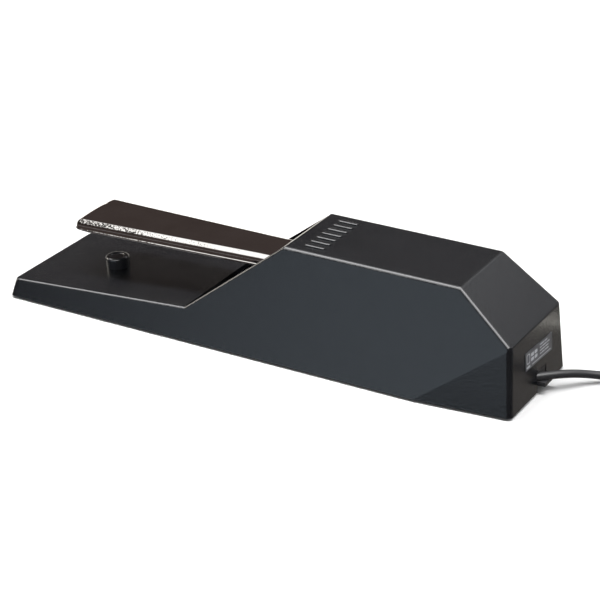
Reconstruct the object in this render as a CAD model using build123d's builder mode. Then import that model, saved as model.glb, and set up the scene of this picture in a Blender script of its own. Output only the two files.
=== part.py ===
from build123d import *
import os
from math import cos, pi, radians, sin, tan

# A piano-style sustain pedal: a moulded housing with a low front deck, a polished steel pedal that
# leaves the housing's mouth over the deck, and a lead that ends in a 6.35 mm jack plug.
# X runs across, the toe is at -Y and the lead leaves at +Y. Z is up and the floor is Z = 0.

os.makedirs("parts", exist_ok=True)

# ---- driving dimensions, mm ------------------------------------------------------------------

# housing outline in the (Y, Z) plane
EDGE_Z = 1.2
TOE_BOTTOM = (-130.0, EDGE_Z)
TOE_TOP = (-128.05, 9.7)
MOUTH_FOOT = (-32.7, 16.1)
ROOF_FRONT = (15.0, 53.4)
ROOF_REAR = (100.8, 53.4)
BACK_TOP = (127.3, 32.4)
BACK_BOTTOM = (130.0, EDGE_Z)
# housing across: half width at the lower edge, how far the sides lean in per mm of height, and the
# flat that narrows each side towards the back
BASE_HALF = 34.2
SIDE_LEAN = 0.224
BACK_HALF = 29.7
FLAT_FRONT_Y = 85.7
WALL = 2.5
# roundings of its edges
TOE_CORNER_R = 3.0
ROOF_REAR_R = 2.0
BACK_CORNER_R = 2.8
ROOF_SIDE_R = 1.6
RIM_R = 1.0
MOUTH_R = 0.9
# ribs under the deck, bosses for the base plate's screws, and grip bars on the roof
RIB_YS = (-108.0, -72.0, -50.0)
RIB_W = 50
RIB_T = 1.6
BOSS_R = 3.4
BOSS_HEIGHTS = (5.6, 13.0, 13.0)
BOSS_BORE_L = 4.6
GRIP_Y = 27.0
GRIP_COUNT = 7
GRIP_PITCH = 5.2
GRIP_L = 10.0
GRIP_W = 2.2
GRIP_H = 0.7
GRIP_SUNK = 0.2
GRIP_R = 0.45

# base plate, and the tops of what stands on it
PLATE_Z = 1.6
PLATE_T = 1.5
FLOOR_Z = PLATE_Z + PLATE_T
PLATE_GAP = 0.4
SCREW_SPOTS = [(25.8, -117.0), (27.3, -22.0), (24.8, 112.0)]
FOOT_SPOTS = [(21.0, -104.0), (20.0, 97.0)]
FOOT_R = 7.0
SCREW_R = 1.45
SCREW_HEAD_R = 2.8
SCREW_HEAD_H = 1.0
BRACKET_RIVET_HOLE_R = 1.6
BRACKET_RIVET_PITCH = 20
SWITCH_RIVET_HOLE_R = 1.3
SWITCH_RIVET_SPOTS = [(-7, 48.2), (7, 48.2)]

# stop button on the deck
BUTTON_Y = -90.0
BUTTON_R = 5.8
BUTTON_H = 5.4
BUTTON_HOLE_R = 2.5
BUTTON_EDGE_R = 1.3
BUTTON_DISH_R = 3.4
BUTTON_DISH_DEPTH = 0.3

# pedal, in a frame that leans back with the pedal's top face
PEDAL_TILT = 1.05
PEDAL_TOP_Z = 41.37
PEDAL_T = 1.3
PEDAL_SKIRT = 5.1
PEDAL_TIP_Y = -103.9
PEDAL_TIP_HALF = 16.4
PEDAL_HALF = 12.6
PEDAL_TAPER_END = -5.0
PEDAL_TAIL_Y = 95.0
SHOULDER_R = 3.0
TIP_CORNER_R = 3.2
# the lip rolled outwards along the visible part of the lower edge, which lifts towards the tip
LIP_OUT = 0.5
LIP_H = 1.1
LIP_END_Y = 25.0
TIP_LIFT = 1.3
TIP_LIFT_L = 14.0
TIP_BOW = 1.1
EAR_R = 6.2
EAR_H = 6.5

# pivot
PIVOT_Y = 72.0
PIVOT_Z = 32.7
AXLE_R = 2.5
RUN_GAP = 0.05
BUSH_R = 4.0
BUSH_FLANGE_R = 6.0
BRACKET_IN = 14.0
BRACKET_T = 2.0
CLIP_X = 16.1
CLIP_T = 0.8
CLIP_R = 4.6
GROOVE_DEPTH = 0.45
SHELF_W = 18
SHELF_T = 1.6
PAD_T = 1.7

# return spring
SPRING_Y = 34.0
SPRING_R = 5.7
WIRE_R = 0.8
SPRING_BOTTOM = 5.1
SPRING_TOP = 39.2
SPRING_TURNS = 8
CUP_R = 9.5
CUP_IN_R = 7.2
CUP_H = 7.5
CUP_STUB_R = 2.05
RETAINER_R = 8.5
RETAINER_T = 1.2
RETAINER_PEG_R = 4.3
RETAINER_PEG_L = 4.5

# switch
SWITCH_Y = 48.4
SWITCH_W = 6.4
SWITCH_Z = 20.0
SWITCH_L = 20.0
SWITCH_H = 10.0
ARM_PIN = (9.0, 31.5)
ARM_TIP = (-8.0, 35.2)
STRIKER_X = -6.0
PLUNGER_X = 3.0
PLUNGER_R = 1.2
PIN_R = 0.4
ARM_T = 0.5
SWITCH_HOLE_X = 4.75
SWITCH_HOLE_R = 1.15
SWITCH_SHEET_W = 22
SWITCH_SHEET_H = 28
SWITCH_SHEET_T = 1.2
SWITCH_SCREW_R = 1.08
SWITCH_SCREW_HEAD_R = 1.9
SMALL_HEAD_H = 1.3
STRIKER_R = 2.4
STRIKER_L = 5.3

# rating plate on the back
LABEL_SIZE = (29.0, 8.4)
LABEL_AT = (-1.5, 19.6)
LABEL_TURN = 3.0
LABEL_T = 0.2

# lead: where it leaves, its size and its route
CABLE_D = 3.8
CABLE_Z = 7.7
SLOT_X = (-9.2, 0.8)
SLOT_TOP = 10.8
LEDGE_Z = 4.4
INNER_LEAD_L = 17
CLAMP_BACK = 12
CLAMP_L = 18
CLAMP_W = 6.0
CLAMP_FLANGE_H = 4.2
CLAMP_H = 8.6
LEAD_ROUTE = [
    (0.5, 127.3, CABLE_Z),
    (-8.6, 136.4, CABLE_Z),
    (-18.4, 143.8, 5.2),
    (-26.0, 153.4, 2.8),
    (-29.3, 165.6, 1.95),
    (-29.7, 181.6, 1.95),
    (-29.0, 198.0, 1.95),
]
COIL_AT = (2.0, 200.0)
COIL_IN_R = 11.5
COIL_PITCH = 3.9
COIL_LAYER_TURNS = 6
PLUG_X = -64.6
PLUG_Z = 5.6
TAIL_ROUTE = [
    (-29.0, 198.0, 5.8),
    (-29.2, 209.0, 5.2),
    (-32.0, 220.4, 3.0),
    (-39.8, 229.4, 1.95),
    (-51.4, 231.4, 1.95),
    (-61.0, 225.6, 3.0),
    (PLUG_X, 215.4, PLUG_Z),
    (PLUG_X, 204.0, PLUG_Z),
]
PLUG_START_Y = 208.0
HANDLE_R = 5.5
HANDLE_END_R = 4.7


# ---- shared shapes ---------------------------------------------------------------------------


def save(piece, node):
    piece.part.label = node
    export_step(piece.part, f"parts/{node}.step")


def housing_side(side, inset):
    """The leaning plane of one side of the housing, moved inwards by inset."""
    lean = Plane(origin=(side * BASE_HALF, 0, EDGE_Z), z_dir=(side, 0, SIDE_LEAN))
    return lean.offset(-inset)


def back_flat(side, inset):
    """The flat that narrows the lower rear of one side, moved inwards by inset."""
    front = Vector(side * BASE_HALF, FLAT_FRONT_Y, EDGE_Z)
    low = Vector(side * BACK_HALF, *BACK_BOTTOM)
    high = outline_corner(side, BACK_TOP)
    normal = (high - front).cross(low - front)
    normal = normal if normal.X * side > 0 else normal * -1
    return Plane(origin=front, z_dir=normal).offset(-inset)


def outline_corner(side, point):
    y, z = point
    return Vector(side * (BASE_HALF - SIDE_LEAN * (z - EDGE_Z)), y, z)


def trim_sides(inset):
    """Cuts the part being built to the housing's sides, moved inwards by inset."""
    for side in (-1, 1):
        split(bisect_by=housing_side(side, inset), keep=Keep.BOTTOM)
        split(bisect_by=back_flat(side, inset), keep=Keep.BOTTOM)


def edge_between(part, a, b):
    return part.edges().sort_by_distance((a + b) * 0.5)[0]


def deck_z(y):
    slope = (MOUTH_FOOT[1] - TOE_TOP[1]) / (MOUTH_FOOT[0] - TOE_TOP[0])
    return TOE_TOP[1] + slope * (y - TOE_TOP[0])


def slot_plan(gap, front_y, back_y):
    """The lead's slot from above, narrowed by gap: one side flares inwards with the lead."""
    left, right = SLOT_X[0] + gap, SLOT_X[1] - gap
    flare_y = BACK_BOTTOM[0] - 0.1 - gap * 0.4
    with BuildLine() as slot_line:
        Polyline(
            (left, front_y),
            (right + flare_y - front_y, front_y),
            (right, flare_y),
            (right, back_y),
            (left, back_y),
            close=True,
        )
    make_face(slot_line.edges())


def both_sides(spots):
    return [(side * x, y) for x, y in spots for side in (-1, 1)]


def pedal_frame(down=0.0):
    """The pedal's own frame: local Y runs back along its top face, which is at local Z = 0."""
    lean = radians(PEDAL_TILT)
    top = Plane(origin=(0, 0, PEDAL_TOP_Z), x_dir=(1, 0, 0), z_dir=(0, -sin(lean), cos(lean)))
    return top.offset(-down)


def across(y, z, x=0.0):
    """A plane facing +X at (x, y, z), with local X along +Y and local Y along +Z."""
    return Plane(origin=(x, y, z), x_dir=(0, 1, 0), z_dir=(1, 0, 0))


# ---- housing ---------------------------------------------------------------------------------

OUTLINE = [TOE_BOTTOM, TOE_TOP, MOUTH_FOOT, ROOF_FRONT, ROOF_REAR, BACK_TOP, BACK_BOTTOM]


def carried_down(low, high, drop):
    """The point on the line from high through low that is drop below low."""
    return (low[0] - (high[0] - low[0]) * drop / (high[1] - low[1]), low[1] - drop)


# the housing is open underneath, so its inside is offset from an outline that runs on down
open_outline = [carried_down(TOE_BOTTOM, TOE_TOP, 10)]
open_outline += OUTLINE[1:-1]
open_outline += [carried_down(BACK_BOTTOM, BACK_TOP, 10)]

with BuildPart() as cavity:
    with BuildSketch(Plane.YZ):
        with BuildLine():
            Polyline(*open_outline, close=True)
        make_face()
        offset(amount=-WALL, kind=Kind.INTERSECTION)
        # the mouth, open between the side walls up to the roof's underside
        with BuildLine():
            Polyline(
                (MOUTH_FOOT[0] - 0.5, MOUTH_FOOT[1] - WALL - 0.2),
                (MOUTH_FOOT[0] - 0.5, ROOF_FRONT[1] - WALL),
                (ROOF_FRONT[0] + 10, ROOF_FRONT[1] - WALL),
                (MOUTH_FOOT[0] + 10, MOUTH_FOOT[1] - WALL - 0.2),
                close=True,
            )
        make_face()
    extrude(amount=BASE_HALF, both=True)
    trim_sides(WALL)

with BuildPart() as housing:
    with BuildSketch(Plane.YZ):
        with BuildLine():
            Polyline(*OUTLINE, close=True)
        make_face()
    extrude(amount=BASE_HALF, both=True)
    trim_sides(0)

    # rounded edges, the tall corners first
    toe_corners, back_corners, roof_sides, rims = [], [], [], []
    for side in (-1, 1):
        back_top = outline_corner(side, BACK_TOP)
        back_low = Vector(side * BACK_HALF, *BACK_BOTTOM)
        roof_rear = outline_corner(side, ROOF_REAR)
        toe = [outline_corner(side, TOE_BOTTOM), outline_corner(side, TOE_TOP)]
        toe_corners.append(edge_between(housing, *toe))
        back_corners.append(edge_between(housing, back_low, back_top))
        back_corners.append(edge_between(housing, back_top, roof_rear))
    fillet(toe_corners, radius=TOE_CORNER_R)
    fillet(edge_between(housing, *[Vector(0, *ROOF_REAR)] * 2), radius=ROOF_REAR_R)
    fillet(back_corners, radius=BACK_CORNER_R)
    for side in (-1, 1):
        roof = [outline_corner(side, ROOF_FRONT), outline_corner(side, ROOF_REAR)]
        roof_sides.append(edge_between(housing, *roof))
    fillet(roof_sides, radius=ROOF_SIDE_R)
    middle = [Vector(0, *BACK_TOP)] * 2
    fillet(edge_between(housing, *middle), radius=RIM_R)
    for side in (-1, 1):
        deck = [outline_corner(side, TOE_TOP), outline_corner(side, MOUTH_FOOT)]
        rims.append(edge_between(housing, *deck))
    rims.append(edge_between(housing, *[Vector(0, *TOE_TOP)] * 2))
    fillet(rims, radius=RIM_R)
    mouth_rims = [edge_between(housing, *[Vector(0, *ROOF_FRONT)] * 2)]
    for side in (-1, 1):
        mouth = [outline_corner(side, MOUTH_FOOT), outline_corner(side, ROOF_FRONT)]
        mouth_rims.append(edge_between(housing, *mouth))
    fillet(mouth_rims, radius=MOUTH_R)
    add(cavity.part, mode=Mode.SUBTRACT)

    # ribs under the deck
    for y in RIB_YS:
        rib_top = deck_z(y) - 1.0
        with Locations((0, y, rib_top)):
            Box(
                RIB_W,
                RIB_T,
                rib_top - FLOOR_Z - 0.6,
                align=(Align.CENTER, Align.CENTER, Align.MAX),
            )
    # screw bosses, each joined to a side wall
    for (x, y), height in zip(SCREW_SPOTS, BOSS_HEIGHTS):
        for side in (-1, 1):
            with Locations((side * x, y, FLOOR_Z + 0.1)):
                Cylinder(BOSS_R, height, align=(Align.CENTER, Align.CENTER, Align.MIN))
    for x, y in both_sides(SCREW_SPOTS):
        with Locations((x, y, FLOOR_Z)):
            Cylinder(
                SCREW_R, BOSS_BORE_L, align=(Align.CENTER, Align.CENTER, Align.MIN), mode=Mode.SUBTRACT
            )
    # hole for the stop button's stem
    with Locations((0, BUTTON_Y, deck_z(BUTTON_Y))):
        Cylinder(BUTTON_HOLE_R, 10, mode=Mode.SUBTRACT)
    # slot for the lead
    with BuildSketch():
        slot_plan(0, BACK_BOTTOM[0] - WALL - 4, BACK_BOTTOM[0] + 3)
    extrude(amount=SLOT_TOP, mode=Mode.SUBTRACT)
    # raised grip bars on the roof, behind the mouth
    with BuildSketch(Plane.XY.offset(ROOF_FRONT[1] - GRIP_SUNK)):
        with Locations((0, GRIP_Y)):
            with GridLocations(GRIP_PITCH, 1, GRIP_COUNT, 1):
                SlotOverall(GRIP_L, GRIP_W, rotation=90)
    extrude(amount=GRIP_SUNK + GRIP_H)
    fillet(housing.edges().group_by(Axis.Z)[-1], radius=GRIP_R)
save(housing, "housing")

# ---- base plate and what holds it ------------------------------------------------------------

with BuildPart() as base_plate:
    with BuildSketch(Plane.XY.offset(PLATE_Z)):
        inset = WALL * 1.03 + PLATE_GAP
        with BuildLine():
            Polyline(
                (-(BASE_HALF - inset - 0.2), TOE_BOTTOM[0] + inset + 0.3),
                (BASE_HALF - inset - 0.2, TOE_BOTTOM[0] + inset + 0.3),
                (BASE_HALF - inset - 0.2, FLAT_FRONT_Y - 3),
                (BACK_HALF - inset, BACK_BOTTOM[0] - inset - 0.2),
                (-(BACK_HALF - inset), BACK_BOTTOM[0] - inset - 0.2),
                (-(BASE_HALF - inset - 0.2), FLAT_FRONT_Y - 3),
                close=True,
            )
        make_face()
        with Locations(*both_sides(SCREW_SPOTS)):
            Circle(SCREW_R + 0.2, mode=Mode.SUBTRACT)
        with Locations((0, SPRING_Y)):
            Circle(CUP_STUB_R + RUN_GAP, mode=Mode.SUBTRACT)
        with Locations((0, PIVOT_Y)):
            with GridLocations(BRACKET_RIVET_PITCH, BRACKET_RIVET_PITCH, 2, 2):
                Circle(BRACKET_RIVET_HOLE_R, mode=Mode.SUBTRACT)
        with Locations(*SWITCH_RIVET_SPOTS):
            Circle(SWITCH_RIVET_HOLE_R, mode=Mode.SUBTRACT)
    extrude(amount=PLATE_T)
    fillet(base_plate.edges().filter_by(Axis.Z).filter_by(GeomType.LINE), radius=2.0)
save(base_plate, "base_plate")

with BuildPart() as base_screws:
    with Locations(*[(x, y, PLATE_Z) for x, y in both_sides(SCREW_SPOTS)]):
        Cylinder(SCREW_HEAD_R, SCREW_HEAD_H, align=(Align.CENTER, Align.CENTER, Align.MAX))
        Cylinder(SCREW_R - 0.05, 5.8, align=(Align.CENTER, Align.CENTER, Align.MIN))
    with Locations(*[(x, y, PLATE_Z - SCREW_HEAD_H) for x, y in both_sides(SCREW_SPOTS)]):
        Box(3.4, 0.7, 0.9, mode=Mode.SUBTRACT)
        Box(0.7, 3.4, 0.9, mode=Mode.SUBTRACT)
save(base_screws, "base_screws")

with BuildPart() as rubber_feet:
    with Locations(*[(x, y, 0) for x, y in both_sides(FOOT_SPOTS)]):
        Cylinder(FOOT_R, PLATE_Z, align=(Align.CENTER, Align.CENTER, Align.MIN))
    chamfer(rubber_feet.edges().group_by(Axis.Z)[0], length=0.4)
save(rubber_feet, "rubber_feet")

# ---- stop button: a rubber push-in bumper ----------------------------------------------------

deck_lean = (MOUTH_FOOT[1] - TOE_TOP[1]) / (MOUTH_FOOT[0] - TOE_TOP[0])
deck_top = Plane(
    origin=(0, BUTTON_Y, deck_z(BUTTON_Y)), x_dir=(1, 0, 0), z_dir=(0, -deck_lean, 1)
)
with BuildPart() as stop_button:
    with BuildSketch(deck_top):
        Circle(BUTTON_R)
    extrude(amount=BUTTON_H)
    fillet(stop_button.edges().group_by(Axis.Z)[-1], radius=BUTTON_EDGE_R)
    # shallow dish in the top
    with BuildSketch(deck_top.offset(BUTTON_H)):
        Circle(BUTTON_DISH_R)
    extrude(amount=-BUTTON_DISH_DEPTH, taper=45, mode=Mode.SUBTRACT)
    # the stem through the deck, and the bulb that holds it
    with Locations((0, BUTTON_Y, deck_z(BUTTON_Y) + 1)):
        Cylinder(
            BUTTON_HOLE_R - 0.1, WALL + 2.6, align=(Align.CENTER, Align.CENTER, Align.MAX)
        )
    with Locations((0, BUTTON_Y, deck_z(BUTTON_Y) - WALL - 0.4)):
        Cone(2.0, 3.4, 2.2, align=(Align.CENTER, Align.CENTER, Align.MAX))
save(stop_button, "stop_button")

# ---- rating plate ----------------------------------------------------------------------------

back_slope = (BACK_TOP[0] - BACK_BOTTOM[0]) / (BACK_TOP[1] - BACK_BOTTOM[1])
label_x, label_z = LABEL_AT
label_y = BACK_BOTTOM[0] + back_slope * (label_z - EDGE_Z)
label_face = Plane(
    origin=(label_x, label_y, label_z), x_dir=(-1, 0, 0), z_dir=(0, 1, -back_slope)
)
with BuildPart() as rating_label:
    with BuildSketch(label_face):
        RectangleRounded(*LABEL_SIZE, radius=0.6, rotation=-LABEL_TURN)
    extrude(amount=LABEL_T)
save(rating_label, "rating_label")

# ---- pedal -----------------------------------------------------------------------------------


def pedal_outline(inset, tail_y):
    """The pedal's plan, drawn inwards by inset, on the sketch being built."""
    tip_half, half = PEDAL_TIP_HALF - inset, PEDAL_HALF - inset
    corner_y, tip_y = PEDAL_TIP_Y + TIP_BOW + inset, PEDAL_TIP_Y + inset
    with BuildLine() as plan_line:
        ThreePointArc((-tip_half, corner_y), (0, tip_y), (tip_half, corner_y))
        Polyline(
            (tip_half, corner_y),
            (half, PEDAL_TAPER_END),
            (half, tail_y),
            (-half, tail_y),
            (-half, PEDAL_TAPER_END),
            (-tip_half, corner_y),
        )
    make_face(plan_line.edges())


PEDAL_UP = Axis((0, 0, 0), pedal_frame().z_dir)

with BuildPart() as pedal_hollow:
    with BuildSketch(pedal_frame(PEDAL_T)) as inner_plan:
        pedal_outline(PEDAL_T, PEDAL_TAIL_Y + 2)
        fillet(inner_plan.vertices().group_by(Axis.Y)[0], radius=TIP_CORNER_R - PEDAL_T)
    extrude(amount=-25)
    hollow_top = pedal_hollow.faces().sort_by(PEDAL_UP)[-1]
    fillet(hollow_top.edges().sort_by(Axis.Y)[:-1], radius=SHOULDER_R - PEDAL_T - 0.1)

with BuildPart() as pedal_lip:
    with BuildSketch(pedal_frame(PEDAL_SKIRT - LIP_H)) as lip_plan:
        pedal_outline(-LIP_OUT, LIP_END_Y)
        fillet(lip_plan.vertices().group_by(Axis.Y)[0], radius=TIP_CORNER_R + LIP_OUT)
    extrude(amount=-LIP_H)
    for level in (0, -1):
        rim_edges = pedal_lip.faces().sort_by(PEDAL_UP)[level].edges().sort_by(Axis.Y)[:-1]
        fillet(rim_edges, radius=LIP_OUT - 0.05)

with BuildPart() as pedal_lever:
    with BuildSketch(pedal_frame()) as plan:
        pedal_outline(0, PEDAL_TAIL_Y)
        fillet(plan.vertices().group_by(Axis.Y)[0], radius=TIP_CORNER_R)
    extrude(amount=-PEDAL_SKIRT)
    top_face = pedal_lever.faces().sort_by(PEDAL_UP)[-1]
    fillet(top_face.edges().sort_by(Axis.Y)[:-1], radius=SHOULDER_R)
    # the lip along the lower edge, out to where the pedal enters the housing
    add(pedal_lip.part)
    # the lower edge lifts towards the tip
    with BuildSketch(Plane.YZ):
        with BuildLine():
            rim_z = PEDAL_TOP_Z + (PEDAL_TIP_Y * sin(radians(PEDAL_TILT))) - PEDAL_SKIRT
            Polyline(
                (PEDAL_TIP_Y - 2, rim_z + TIP_LIFT),
                (PEDAL_TIP_Y + TIP_LIFT_L, rim_z - 0.2),
                (PEDAL_TIP_Y - 2, rim_z - 0.6),
                close=True,
            )
        make_face()
    extrude(amount=PEDAL_TIP_HALF + 2, both=True, mode=Mode.SUBTRACT)
    # ears that carry the bushes
    with BuildSketch(across(PIVOT_Y, PIVOT_Z)):
        Circle(EAR_R)
        with Locations((0, EAR_H / 2)):
            Rectangle(2 * EAR_R, EAR_H)
    extrude(amount=PEDAL_HALF, both=True)
    add(pedal_hollow.part, mode=Mode.SUBTRACT)
    with BuildSketch(across(PIVOT_Y, PIVOT_Z)):
        Circle(BUSH_R + 0.02)
    extrude(amount=PEDAL_HALF + 1, both=True, mode=Mode.SUBTRACT)
save(pedal_lever, "pedal_lever")

with BuildPart() as pivot_bushes:
    for side in (-1, 1):
        with BuildSketch(across(PIVOT_Y, PIVOT_Z, side * (PEDAL_HALF + 0.05))):
            Circle(BUSH_FLANGE_R)
            Circle(AXLE_R + RUN_GAP, mode=Mode.SUBTRACT)
        extrude(amount=side * 1.0)
        with BuildSketch(across(PIVOT_Y, PIVOT_Z, side * (PEDAL_HALF - 2.5))):
            Circle(BUSH_R)
            Circle(AXLE_R + RUN_GAP, mode=Mode.SUBTRACT)
        extrude(amount=side * 2.6)
save(pivot_bushes, "pivot_bushes")

AXLE_HALF = CLIP_X + CLIP_T + 1.4
with BuildPart() as pivot_axle:
    with BuildSketch(across(PIVOT_Y, PIVOT_Z)):
        Circle(AXLE_R)
    extrude(amount=AXLE_HALF, both=True)
    chamfer(pivot_axle.faces().filter_by(Axis.X).edges(), length=0.4)
    for side in (-1, 1):
        with BuildSketch(across(PIVOT_Y, PIVOT_Z, side * CLIP_X)):
            Circle(AXLE_R + 1)
            Circle(AXLE_R - GROOVE_DEPTH, mode=Mode.SUBTRACT)
        extrude(amount=side * (CLIP_T + 0.1), mode=Mode.SUBTRACT)
save(pivot_axle, "pivot_axle")

with BuildPart() as axle_clips:
    for side in (-1, 1):
        with BuildSketch(across(PIVOT_Y, PIVOT_Z, side * (CLIP_X + 0.05))):
            Circle(CLIP_R)
            Circle(AXLE_R - GROOVE_DEPTH + RUN_GAP, mode=Mode.SUBTRACT)
            with Locations((0, 4)):
                Rectangle(3.6, 7.0, mode=Mode.SUBTRACT)
        extrude(amount=side * CLIP_T)
save(axle_clips, "axle_clips")

# ---- pivot bracket: one folded sheet, with a shelf for the rest pad --------------------------

SHELF_Z = 39.6
BRACKET_FRONT, BRACKET_BACK = PIVOT_Y - 15, PIVOT_Y + 16
with BuildPart() as pivot_bracket:
    with BuildSketch(Plane.YZ):
        with BuildLine():
            Polyline(
                (BRACKET_FRONT, FLOOR_Z),
                (BRACKET_BACK, FLOOR_Z),
                (BRACKET_BACK, FLOOR_Z + 5),
                (PIVOT_Y + 7, PIVOT_Z),
                (PIVOT_Y - 7, PIVOT_Z),
                (BRACKET_FRONT, FLOOR_Z + 5),
                close=True,
            )
        make_face()
        with Locations((PIVOT_Y, PIVOT_Z)):
            Circle(7.0)
    extrude(amount=BRACKET_IN + BRACKET_T, both=True)
    with Locations((0, PIVOT_Y, FLOOR_Z + BRACKET_T)):
        Box(
            2 * BRACKET_IN, 60, 60, align=(Align.CENTER, Align.CENTER, Align.MIN), mode=Mode.SUBTRACT
        )
    with BuildSketch(across(PIVOT_Y, PIVOT_Z)):
        Circle(AXLE_R + 0.03)
    extrude(amount=BRACKET_IN + BRACKET_T + 1, both=True, mode=Mode.SUBTRACT)
    with Locations((0, BRACKET_BACK, FLOOR_Z)):
        Box(SHELF_W, SHELF_T, SHELF_Z - FLOOR_Z, align=(Align.CENTER, Align.MAX, Align.MIN))
    with Locations((0, BRACKET_BACK - 4, SHELF_Z)):
        Box(SHELF_W, 10.5, SHELF_T, align=(Align.CENTER, Align.MIN, Align.MAX))
    with Locations((0, PIVOT_Y, FLOOR_Z)):
        with GridLocations(BRACKET_RIVET_PITCH, BRACKET_RIVET_PITCH, 2, 2):
            Cylinder(
                BRACKET_RIVET_HOLE_R,
                BRACKET_T + 1,
                align=(Align.CENTER, Align.CENTER, Align.MIN),
                mode=Mode.SUBTRACT,
            )
save(pivot_bracket, "pivot_bracket")


def rivets(spots, top_z, shank_r, head_r):
    """Domed rivets from the base plate's underside to top_z, in the part being built."""
    with Locations(*[(x, y, PLATE_Z) for x, y in spots]):
        Cylinder(shank_r, top_z - PLATE_Z, align=(Align.CENTER, Align.CENTER, Align.MIN))
    with Locations(*[(x, y, top_z) for x, y in spots]):
        Cone(head_r, head_r * 0.55, 1.1, align=(Align.CENTER, Align.CENTER, Align.MIN))


with BuildPart() as bracket_rivets:
    half_pitch = BRACKET_RIVET_PITCH / 2
    steps = (-half_pitch, half_pitch)
    corners = [(x, PIVOT_Y + y) for x in steps for y in steps]
    rivets(corners, FLOOR_Z + BRACKET_T, BRACKET_RIVET_HOLE_R - RUN_GAP, 2.8)
save(bracket_rivets, "bracket_rivets")

with BuildPart() as rest_pad:
    with Locations((0, BRACKET_BACK - 3.5, SHELF_Z)):
        Box(SHELF_W - 2, 9.5, PAD_T, align=(Align.CENTER, Align.MIN, Align.MIN))
save(rest_pad, "rest_pad")

# ---- return spring ---------------------------------------------------------------------------

with BuildPart() as return_spring:
    rise = SPRING_TOP - SPRING_BOTTOM - 2 * WIRE_R
    with BuildLine():
        coil_line = Helix(
            pitch=rise / SPRING_TURNS,
            height=rise,
            radius=SPRING_R,
            center=(0, SPRING_Y, SPRING_BOTTOM + WIRE_R),
        )
    with BuildSketch(Plane(origin=coil_line @ 0, z_dir=coil_line % 0)):
        Circle(WIRE_R)
    sweep(is_frenet=True)
    # ground ends
    for end_z, keep in ((SPRING_BOTTOM + 0.3, Keep.TOP), (SPRING_TOP - 0.3, Keep.BOTTOM)):
        split(bisect_by=Plane.XY.offset(end_z), keep=keep)
save(return_spring, "return_spring")

with BuildPart() as spring_cup:
    with BuildSketch(Plane.XY.offset(FLOOR_Z)):
        with Locations((0, SPRING_Y)):
            Circle(CUP_R)
    extrude(amount=CUP_H)
    with BuildSketch(Plane.XY.offset(SPRING_BOTTOM + 0.2)):
        with Locations((0, SPRING_Y)):
            Circle(CUP_IN_R)
    extrude(amount=10, mode=Mode.SUBTRACT)
    with Locations((0, SPRING_Y, FLOOR_Z)):
        Cylinder(CUP_STUB_R, PLATE_T, align=(Align.CENTER, Align.CENTER, Align.MAX))
save(spring_cup, "spring_cup")

with BuildPart() as spring_retainer:
    with BuildSketch(pedal_frame(PEDAL_T)):
        with Locations((0, SPRING_Y)):
            Circle(RETAINER_R)
    extrude(amount=-RETAINER_T)
    with BuildSketch(pedal_frame(PEDAL_T + RETAINER_T)):
        with Locations((0, SPRING_Y)):
            Circle(RETAINER_PEG_R)
    extrude(amount=-RETAINER_PEG_L, taper=8)
save(spring_retainer, "spring_retainer")

# ---- switch ----------------------------------------------------------------------------------

SWITCH_BACK = SWITCH_Y + SWITCH_W / 2
SWITCH_TOP = SWITCH_Z + SWITCH_H
SWITCH_HOLES = [(-SWITCH_HOLE_X, SWITCH_Z + 3.0), (SWITCH_HOLE_X, SWITCH_Z + 3.0)]
facing_front = Plane(origin=(0, SWITCH_Y, 0), x_dir=(1, 0, 0), z_dir=(0, -1, 0))
arm_x, arm_z = ARM_PIN

with BuildPart() as switch_body:
    with Locations((0, SWITCH_Y, SWITCH_Z)):
        Box(SWITCH_L, SWITCH_W, SWITCH_H, align=(Align.CENTER, Align.CENTER, Align.MIN))
    chamfer(switch_body.edges().filter_by(Axis.Y), length=0.5)
    with BuildSketch(facing_front):
        with Locations(*SWITCH_HOLES):
            Circle(SWITCH_HOLE_R)
    extrude(amount=SWITCH_W, both=True, mode=Mode.SUBTRACT)
    with Locations((PLUNGER_X, SWITCH_Y, SWITCH_TOP)):
        Cylinder(
            PLUNGER_R + RUN_GAP, 5.5, align=(Align.CENTER, Align.CENTER, Align.MAX), mode=Mode.SUBTRACT
        )
    # two lugs that hold the arm's pin
    for side in (-1, 1):
        with Locations((arm_x, SWITCH_Y + side * 1.9, SWITCH_TOP - 1.0)):
            Box(2.0, 0.8, 3.4, align=(Align.CENTER, Align.CENTER, Align.MIN))
    with BuildSketch(facing_front):
        with Locations((arm_x, arm_z)):
            Circle(PIN_R + 0.02)
    extrude(amount=4, both=True, mode=Mode.SUBTRACT)
save(switch_body, "switch_body")

with BuildPart() as switch_pin:
    with BuildSketch(facing_front):
        with Locations((arm_x, arm_z)):
            Circle(PIN_R)
    extrude(amount=2.3, both=True)
save(switch_pin, "switch_pin")

with BuildPart() as switch_arm:
    with BuildSketch(facing_front):
        with BuildLine():
            Polyline(
                (arm_x, arm_z + ARM_T / 2),
                (ARM_TIP[0], ARM_TIP[1] + ARM_T / 2),
                (ARM_TIP[0], ARM_TIP[1] - ARM_T / 2),
                (arm_x, arm_z - ARM_T / 2),
                close=True,
            )
        make_face()
        with Locations((arm_x, arm_z)):
            Circle(0.9)
            Circle(PIN_R + RUN_GAP, mode=Mode.SUBTRACT)
    extrude(amount=1.4, both=True)
save(switch_arm, "switch_arm")

with BuildPart() as switch_plunger:
    with Locations((PLUNGER_X, SWITCH_Y, SWITCH_TOP - 4.0)):
        Cylinder(PLUNGER_R, 6.3, align=(Align.CENTER, Align.CENTER, Align.MIN))
    fillet(switch_plunger.edges().group_by(Axis.Z)[-1], radius=0.6)
save(switch_plunger, "switch_plunger")

with BuildPart() as switch_terminals:
    for x in (-7, 0, 7):
        with Locations((x, SWITCH_Y, SWITCH_Z)):
            Box(2.8, 0.6, 4.6, align=(Align.CENTER, Align.CENTER, Align.MAX))
save(switch_terminals, "switch_terminals")

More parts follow.
